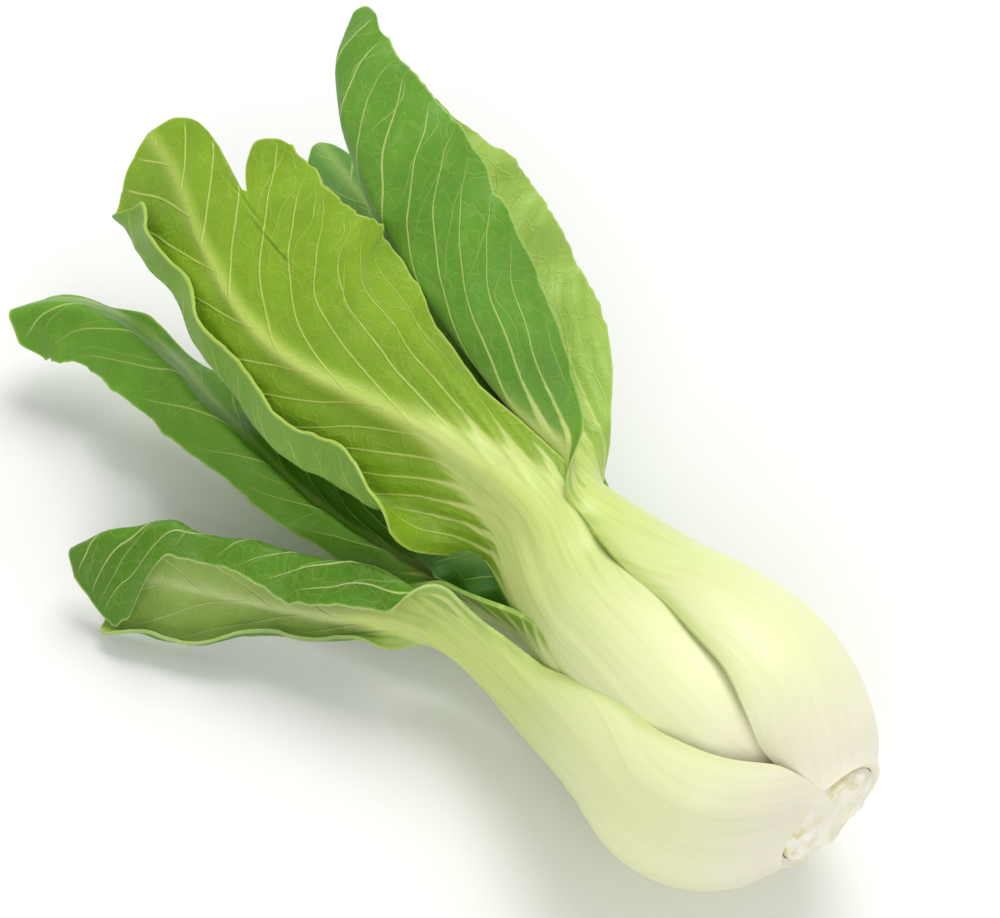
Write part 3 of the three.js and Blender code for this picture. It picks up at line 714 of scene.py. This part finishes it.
# Middle leaf on top: a long ribbed stalk between the two outer ones. Its blade shows the bright outer
# side, with one notch at the tip, and its left edge has rolled over to show the inner side.
MIDDLE_LEAF_TOP = {
    "rise": 3,
    "shrink": 0.77,
    "thickness": 5.8,
    "neck": 0.4,
    "width": [
        (0, 13), (0.03, 18), (0.1, 25), (0.17, 27), (0.27, 21), (0.36, 14.5), (0.42, 14), (0.5, 24),
        (0.62, 33), (0.85, 32), (1, 19),
    ],
    "left": {
        **PLAIN_HALF,
        "share": [
            (0, 1), (0.1, 0.8), (0.17, 0.62), (0.26, 0.65), (0.31, 0.95), (0.36, 1.4), (0.41, 1.5),
            (0.46, 1.35), (0.5, 1.25), (0.56, 1.1), (0.62, 1), (0.7, 0.68), (0.8, 0.6), (0.9, 0.95),
            (0.96, 1.4), (1, 1.5),
        ],
        "roll": [(0.4, 0), (0.46, -50), (0.52, -140), (0.6, -175)],
        "roll_from": [(0, 0.5)],
        "roll_to": [(0, 0.8)],
    },
    "right": {
        **PLAIN_HALF,
        "share": [
            (0, 1), (0.08, 0.8), (0.3, 0.75), (0.42, 0.9), (0.46, 0.6), (0.52, 0.62), (0.6, 0.93),
            (0.67, 1.1), (0.75, 1), (0.9, 0.92), (0.95, 1.3), (1, 1.7),
        ],
        "cup": [(0, 60), (0.25, 55), (0.4, 40), (0.5, 15), (1, 25)],
    },
    "tip": [
        (-1, 0.92), (-0.5, 0.98), (0, 1), (0.2, 0.99), (0.35, 0.965), (0.44, 0.92), (0.48, 0.845),
        (0.53, 0.86), (0.6, 0.88), (0.75, 0.9), (0.9, 0.89), (1, 0.87),
    ],
    "angle": -30,
    "blade": [
        (-8, 72, 43), (-4, 88, 47), (-8, 110, 51), (-16, 130, 54), (-22, 144, 56), (-24, 160, 58),
        (-19, 183, 59), (-11, 205, 58), (-8, 219, 56),
    ],
}
grow_leaf(
    "middle_leaf_top", MIDDLE_LEAF_TOP,
    leaf_material("middle_leaf_top_skin", "#7ba541", "#86ab24", "#c4d66a", 4, 40), 4,
)


# Middle leaf on the right, behind the tall one.
MIDDLE_LEAF_RIGHT = {
    "rise": 4,
    "shrink": 0.7,
    "thickness": 5,
    "width": [
        (0, 12), (0.03, 18), (0.1, 25), (0.17, 27), (0.27, 18), (0.36, 12.5), (0.42, 11), (0.5, 18),
        (0.66, 25), (0.82, 24), (1, 10),
    ],
    "angle": 112,
    "blade": [(8, 72, 26), (10, 90, 25), (15, 120, 28), (24, 150, 32), (34, 175, 34)],
}
grow_leaf(
    "middle_leaf_right", MIDDLE_LEAF_RIGHT,
    leaf_material("middle_leaf_right_skin", "#6a9a55", "#7da53a", "#b5cb7c", 5), 5,
)


# Middle leaf on the left: a long narrow blade, dark in its fold, whose tip hangs over to the left.
MIDDLE_LEAF_LEFT = {
    "rise": 4,
    "shrink": 0.7,
    "thickness": 5,
    "neck": 0.37,
    "width": [
        (0, 12), (0.03, 18), (0.1, 25), (0.17, 27), (0.27, 18), (0.36, 12.5), (0.42, 11), (0.5, 20),
        (0.66, 25), (0.82, 26), (0.94, 25), (1, 23),
    ],
    "left": {
        **PLAIN_HALF,
        "share": [(0.5, 1), (0.65, 0.8), (0.74, 0.45), (0.84, 0.16), (1, 0.12)],
        "cup": [(0, 60), (0.25, 55), (0.4, 40), (0.5, 30), (1, 30)],
    },
    "right": {
        **PLAIN_HALF,
        "share": [(0.37, 1), (0.48, 0.6), (0.58, 0.58), (0.68, 0.64), (0.78, 0.8), (0.9, 0.85), (1, 1)],
        "cup": [(0, 60), (0.25, 55), (0.4, 30), (0.5, 40), (0.8, 20), (1, -20)],
        "roll": [(0.4, 0), (0.5, -120), (1, -90)],
        "roll_from": [(0, 0.3)],
        "roll_to": [(0, 0.5)],
    },
    "tip": [(-1, 0.93), (-0.5, 0.98), (0, 0.995), (0.35, 1), (0.7, 1), (1, 0.985)],
    "angle": -137,
    "blade": [
        (-12, 72, 22), (-18, 96, 20), (-23, 110, 21), (-29, 134, 23), (-30, 161, 23), (-29, 191, 22),
        (-33, 208, 23), (-39, 218, 22), (-46, 224, 18),
    ],
}
grow_leaf(
    "middle_leaf_left", MIDDLE_LEAF_LEFT,
    leaf_material("middle_leaf_left_skin", "#6a9f2a", "#7fa937", "#aeca68", 6, 40), 6,
)


# Inner leaves: two slim ones that stand inside the middle ring, mostly hidden.
INNER_LEAF_TOP = {
    "rise": 9,
    "shrink": 0.46,
    "thickness": 4.5,
    "width": [
        (0, 9), (0.05, 13), (0.15, 15), (0.3, 11), (0.42, 8), (0.5, 14), (0.66, 19), (0.82, 18), (1, 8),
    ],
    "angle": 15,
    "blade": [(0, 78, 38), (4, 100, 40), (11, 130, 42), (19, 160, 43), (25, 190, 42), (28, 203, 40)],
}
INNER_LEAF_LEFT = {
    "rise": 9,
    "shrink": 0.42,
    "thickness": 4.5,
    "width": [
        (0, 9), (0.05, 13), (0.15, 15), (0.3, 11), (0.42, 8), (0.5, 12), (0.66, 15), (0.82, 15), (1, 8),
    ],
    "right": {
        **PLAIN_HALF,
        "share": [(0.35, 1), (0.5, 0.7)],
    },
    "angle": -95,
    "blade": [(-10, 78, 31), (-13, 96, 28), (-18, 120, 27), (-22, 145, 27), (-25, 170, 29)],
}
INNER_SKIN = leaf_material("inner_leaf_skin", "#55893a", "#5d9436", "#a0bf62", 7)
grow_leaf("inner_leaf_top", INNER_LEAF_TOP, INNER_SKIN, 7)
grow_leaf("inner_leaf_left", INNER_LEAF_LEFT, INNER_SKIN, 8)


# Heart leaves: the two smallest, dark green and tightly crinkled, deep between the stalks.
HEART_LEAF_UPPER = {
    "rise": 14,
    "shrink": 0.2,
    "stations": [3, 10, 26, 42],
    "thickness": 3.5,
    "width": [(0, 4), (0.15, 6), (0.3, 6), (0.42, 5), (0.55, 8), (0.8, 10), (1, 5)],
    "angle": -30,
    "blade": [(-5, 68, 37), (-11, 88, 33), (-17, 100, 31), (-22, 108, 30)],
}
HEART_LEAF_LOWER = {
    "rise": 14,
    "shrink": 0.2,
    "stations": [3, 10, 26, 42],
    "thickness": 3.5,
    "width": [(0, 4), (0.15, 6), (0.3, 6), (0.42, 5), (0.55, 8), (0.8, 9), (1, 5)],
    "angle": 150,
    "blade": [(0, 68, 29), (-3, 88, 27), (-8, 105, 27), (-14, 120, 27)],
}
HEART_SKIN = leaf_material("heart_leaf_skin", "#2f6316", "#3b6f1c", "#7ba14c", 9)
grow_leaf("heart_leaf_upper", HEART_LEAF_UPPER, HEART_SKIN, 9)
grow_leaf("heart_leaf_lower", HEART_LEAF_LOWER, HEART_SKIN, 10)


# Cut base: the short solid stem that every stalk grows from. It was cut across with a knife, so its face
# is rough and moist, cream with yellow-brown stains at the rim; it is spun from a profile, then broken up.
CORE_FACE = -3
CORE_PROFILE = [(r / 2, CORE_FACE) for r in range(0, 23)] + [
    (11.6, -2.85), (12.1, -2.4), (12.35, -1.8), (12.35, 0), (12.35, 2), (12, 4), (10, 7), (8.5, 9),
    (6.8, 12), (5, 16), (2.6, 19), (0, 22),
]
bm = bmesh.new()
ring = [bm.verts.new((r, y, 0)) for r, y in CORE_PROFILE]
lines = [bm.edges.new(pair) for pair in zip(ring, ring[1:])]
bmesh.ops.spin(
    bm, geom=ring + lines, cent=(0, 0, 0), axis=(0, 1, 0), angle=math.tau, steps=96, use_merge=True
)
bmesh.ops.remove_doubles(bm, verts=bm.verts[:], dist=0.001)
bmesh.ops.recalc_face_normals(bm, faces=bm.faces[:])
face_mask = bm.verts.layers.float_vector.new("cut")
for vert in bm.verts:
    r = math.hypot(vert.co.x, vert.co.z)
    on_face = ease((0.5 - vert.co.y) / 3.4)
    lump = noise.noise(vert.co * 0.2 + Vector((3, 0, 1))) + 0.35 * noise.noise(vert.co * 0.55)
    vert[face_mask] = (r, vert.co.y, on_face)
    vert.co.y += on_face * (1.5 * lump - 0.7 * ease(1 - r / 9)) * ease(r)
    vert.co = HEAD + vert.co / 1000
for face in bm.faces:
    face.smooth = True
base_mesh = bpy.data.meshes.new("cut_base_skin")
bm.to_mesh(base_mesh)
bm.free()
base = bpy.data.objects.new("cut_base_skin", base_mesh)
bpy.context.scene.collection.objects.link(base)

cut = bpy.data.materials.new("cut_stem")
cut.use_nodes = True
tree = cut.node_tree
shader = tree.nodes["Principled BSDF"]
spot = tree.nodes.new("ShaderNodeTexCoord").outputs["Object"]
blotch = tree.nodes.new("ShaderNodeTexNoise")
blotch.inputs["Scale"].default_value = 260
blotch.inputs["Detail"].default_value = 4
tree.links.new(spot, blotch.inputs["Vector"])
pith = tree.nodes.new("ShaderNodeTexVoronoi")
pith.feature = "DISTANCE_TO_EDGE"
pith.inputs["Scale"].default_value = 300
tree.links.new(spot, pith.inputs["Vector"])
split = tree.nodes.new("ShaderNodeSeparateXYZ")
layer = tree.nodes.new("ShaderNodeAttribute")
layer.attribute_name = "cut"
tree.links.new(layer.outputs["Vector"], split.inputs[0])
at_rim = between(tree, split.outputs[0], 7, 12)
stain = number(tree, "MULTIPLY", at_rim, between(tree, blotch.outputs["Fac"], 0.48, 0.7))
colour = mixed(tree, between(tree, blotch.outputs["Fac"], 0.4, 0.65), paint("#fffbec"), paint("#faf4d8"))
colour = mixed(tree, number(tree, "MULTIPLY", stain, 0.7), colour, paint("#d6cd80"))
colour = mixed(tree, between(tree, pith.outputs["Distance"], 0.0, 0.1, 0.08, 0), colour, paint("#e8dfb0"))
tree.links.new(colour, shader.inputs["Base Color"])
tree.links.new(between(tree, blotch.outputs["Fac"], 0.3, 0.7, 0.5, 0.75), shader.inputs["Roughness"])
bump = tree.nodes.new("ShaderNodeBump")
bump.inputs["Distance"].default_value = 0.0003
tree.links.new(number(tree, "ADD", blotch.outputs["Fac"], pith.outputs["Distance"]), bump.inputs["Height"])
tree.links.new(bump.outputs["Normal"], shader.inputs["Normal"])
shader.inputs["Subsurface Weight"].default_value = 0.15
shader.inputs["Subsurface Radius"].default_value = (1.0, 0.8, 0.4)
shader.inputs["Subsurface Scale"].default_value = 0.003
base_mesh.materials.append(cut)
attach(base, "root")
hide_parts("cut_base")
